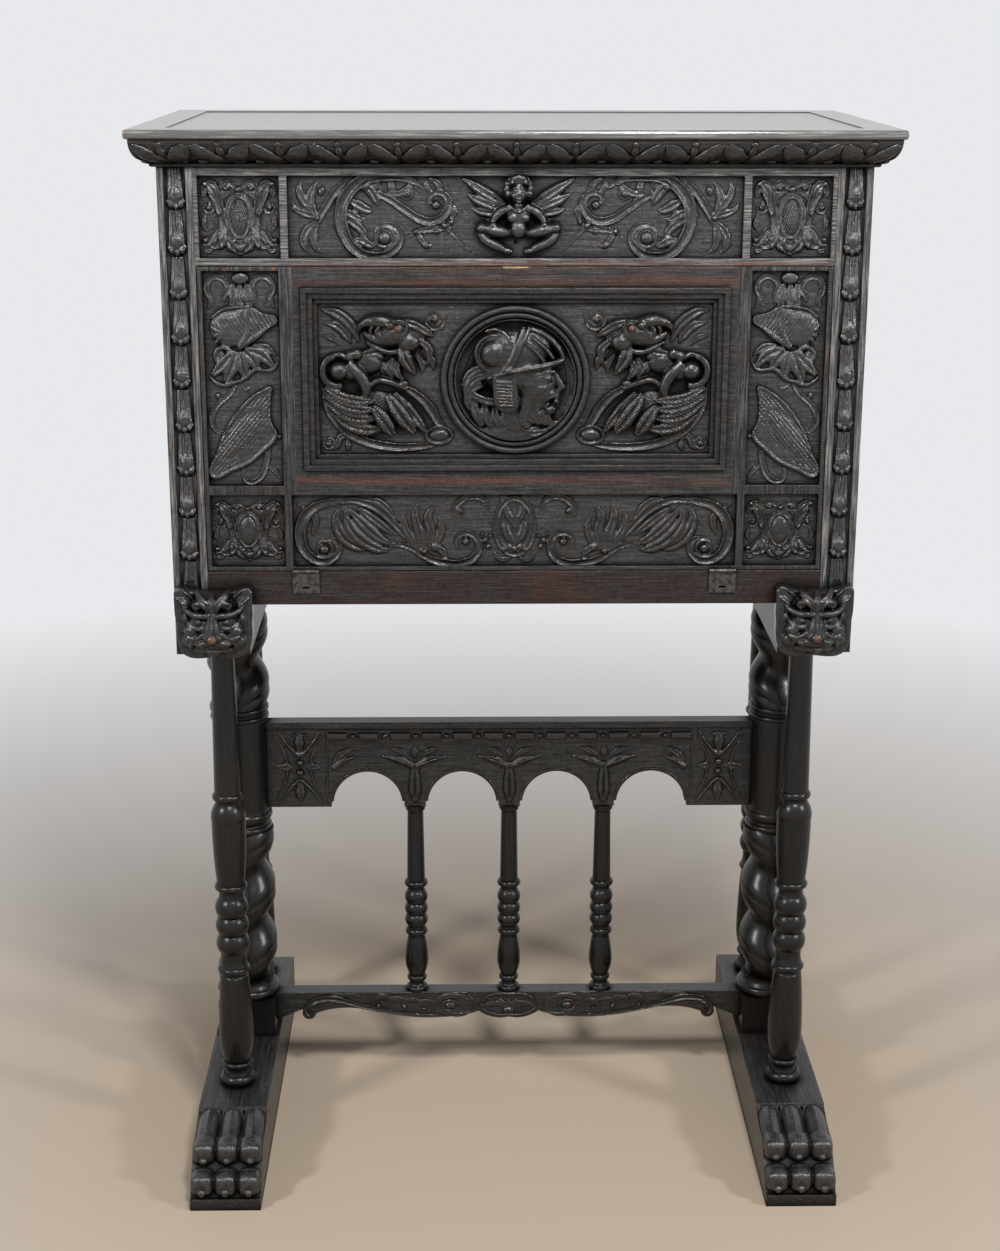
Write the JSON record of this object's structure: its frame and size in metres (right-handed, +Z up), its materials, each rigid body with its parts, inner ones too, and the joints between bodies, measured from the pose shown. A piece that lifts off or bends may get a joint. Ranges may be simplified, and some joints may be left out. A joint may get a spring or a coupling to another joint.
{
  "type": "vargueno",
  "caption": "Fall-front writing cabinet in dark carved wood on a trestle stand with twisted columns, an arcade, paw feet and sliding lopers.",
  "frame": {"origin": "On the floor, on the middle line, halfway between the tips of the paws and the heels of the feet.", "axes": "+Z up, the front of the cabinet faces -Y, +X to the viewer's right when looking at the front."},
  "size_m": [0.905, 0.5814, 1.363],
  "materials": {
    "ebonised_wood": "ebonised, waxed, worn on the edges",
    "interior_wood": "plain oiled wood",
    "iron": "dark, rubbed",
    "brass": "aged"
  },
  "bodies": {
    "root": {"arcade": "ebonised_wood", "back_boards": "interior_wood", "baluster_front_left": "ebonised_wood", "baluster_front_right": "ebonised_wood", "baluster_rear_left": "ebonised_wood", "baluster_rear_right": "ebonised_wood", "bottom_board": "interior_wood", "bottom_rail": "ebonised_wood", "column_left": "ebonised_wood", "column_right": "ebonised_wood", "cornice": "ebonised_wood", "foot_left": "ebonised_wood", "foot_right": "ebonised_wood", "frieze_panels": "ebonised_wood", "frieze_rail": "ebonised_wood", "hinge_lower_leaves": "iron", "locating_pegs": "interior_wood", "lock_case": "iron", "nest_dividers": "interior_wood", "nest_shelves": "interior_wood", "side_left": "ebonised_wood", "side_right": "ebonised_wood", "spindle_1": "ebonised_wood", "spindle_2": "ebonised_wood", "spindle_3": "ebonised_wood", "stile_left": "ebonised_wood", "stile_right": "ebonised_wood", "stretcher": "ebonised_wood", "top_boards": "ebonised_wood", "top_frame": "ebonised_wood", "top_rail_left": "ebonised_wood", "top_rail_right": "ebonised_wood"},
    "fall": {"fall_board": "ebonised_wood", "fall_frame": "ebonised_wood", "lower_frieze_panels": "ebonised_wood", "side_panels": "ebonised_wood", "centre_moulding": "ebonised_wood", "centre_panel": "ebonised_wood", "medallion": "ebonised_wood", "hinge_upper_leaves": "iron", "strike_plate": "brass"},
    "loper_left": {"loper_left": "interior_wood", "mask_left": "ebonised_wood"},
    "loper_right": {"loper_right": "interior_wood", "mask_right": "ebonised_wood"},
    "lock_bolt": {"lock_bolt": "iron"},
    "drawer_lower_left": {"drawer_lower_left": "interior_wood", "knob_lower_left": "ebonised_wood"},
    "drawer_lower_middle": {"drawer_lower_middle": "interior_wood", "knob_lower_middle": "ebonised_wood"},
    "drawer_lower_right": {"drawer_lower_right": "interior_wood", "knob_lower_right": "ebonised_wood"},
    "drawer_upper_left": {"drawer_upper_left": "interior_wood", "knob_upper_left": "ebonised_wood"},
    "drawer_upper_middle": {"drawer_upper_middle": "interior_wood", "knob_upper_middle": "ebonised_wood"},
    "drawer_upper_right": {"drawer_upper_right": "interior_wood", "knob_upper_right": "ebonised_wood"}
  },
  "joints": [
    {"name": "fall_hinge", "type": "hinge", "parent": "root", "child": "fall", "pos_m": [0, -0.19475, 0.8317], "axis": [1, 0, 0], "range_deg": [0, 93]},
    {"name": "loper_left_slide", "type": "slide", "parent": "root", "child": "loper_left", "axis": [0, -1, 0], "range_m": [0, 0.28]},
    {"name": "loper_right_slide", "type": "slide", "parent": "root", "child": "loper_right", "axis": [0, -1, 0], "range_m": [0, 0.28]},
    {"name": "bolt_slide", "type": "slide", "parent": "root", "child": "lock_bolt", "axis": [0, 0, -1], "range_m": [0, 0.008]},
    {"name": "drawer_lower_left_slide", "type": "slide", "parent": "root", "child": "drawer_lower_left", "axis": [0, -1, 0], "range_m": [0, 0.2]},
    {"name": "drawer_lower_middle_slide", "type": "slide", "parent": "root", "child": "drawer_lower_middle", "axis": [0, -1, 0], "range_m": [0, 0.2]},
    {"name": "drawer_lower_right_slide", "type": "slide", "parent": "root", "child": "drawer_lower_right", "axis": [0, -1, 0], "range_m": [0, 0.2]},
    {"name": "drawer_upper_left_slide", "type": "slide", "parent": "root", "child": "drawer_upper_left", "axis": [0, -1, 0], "range_m": [0, 0.2]},
    {"name": "drawer_upper_middle_slide", "type": "slide", "parent": "root", "child": "drawer_upper_middle", "axis": [0, -1, 0], "range_m": [0, 0.2]},
    {"name": "drawer_upper_right_slide", "type": "slide", "parent": "root", "child": "drawer_upper_right", "axis": [0, -1, 0], "range_m": [0, 0.2]}
  ],
  "couplings": [
    {"joint": "drawer_lower_left_slide", "follows": "fall_hinge", "m_per_rad": 0.123},
    {"joint": "drawer_lower_middle_slide", "follows": "fall_hinge", "m_per_rad": 0.123},
    {"joint": "drawer_lower_right_slide", "follows": "fall_hinge", "m_per_rad": 0.123},
    {"joint": "drawer_upper_left_slide", "follows": "fall_hinge", "m_per_rad": 0.123},
    {"joint": "drawer_upper_middle_slide", "follows": "fall_hinge", "m_per_rad": 0.123},
    {"joint": "drawer_upper_right_slide", "follows": "fall_hinge", "m_per_rad": 0.123}
  ]
}
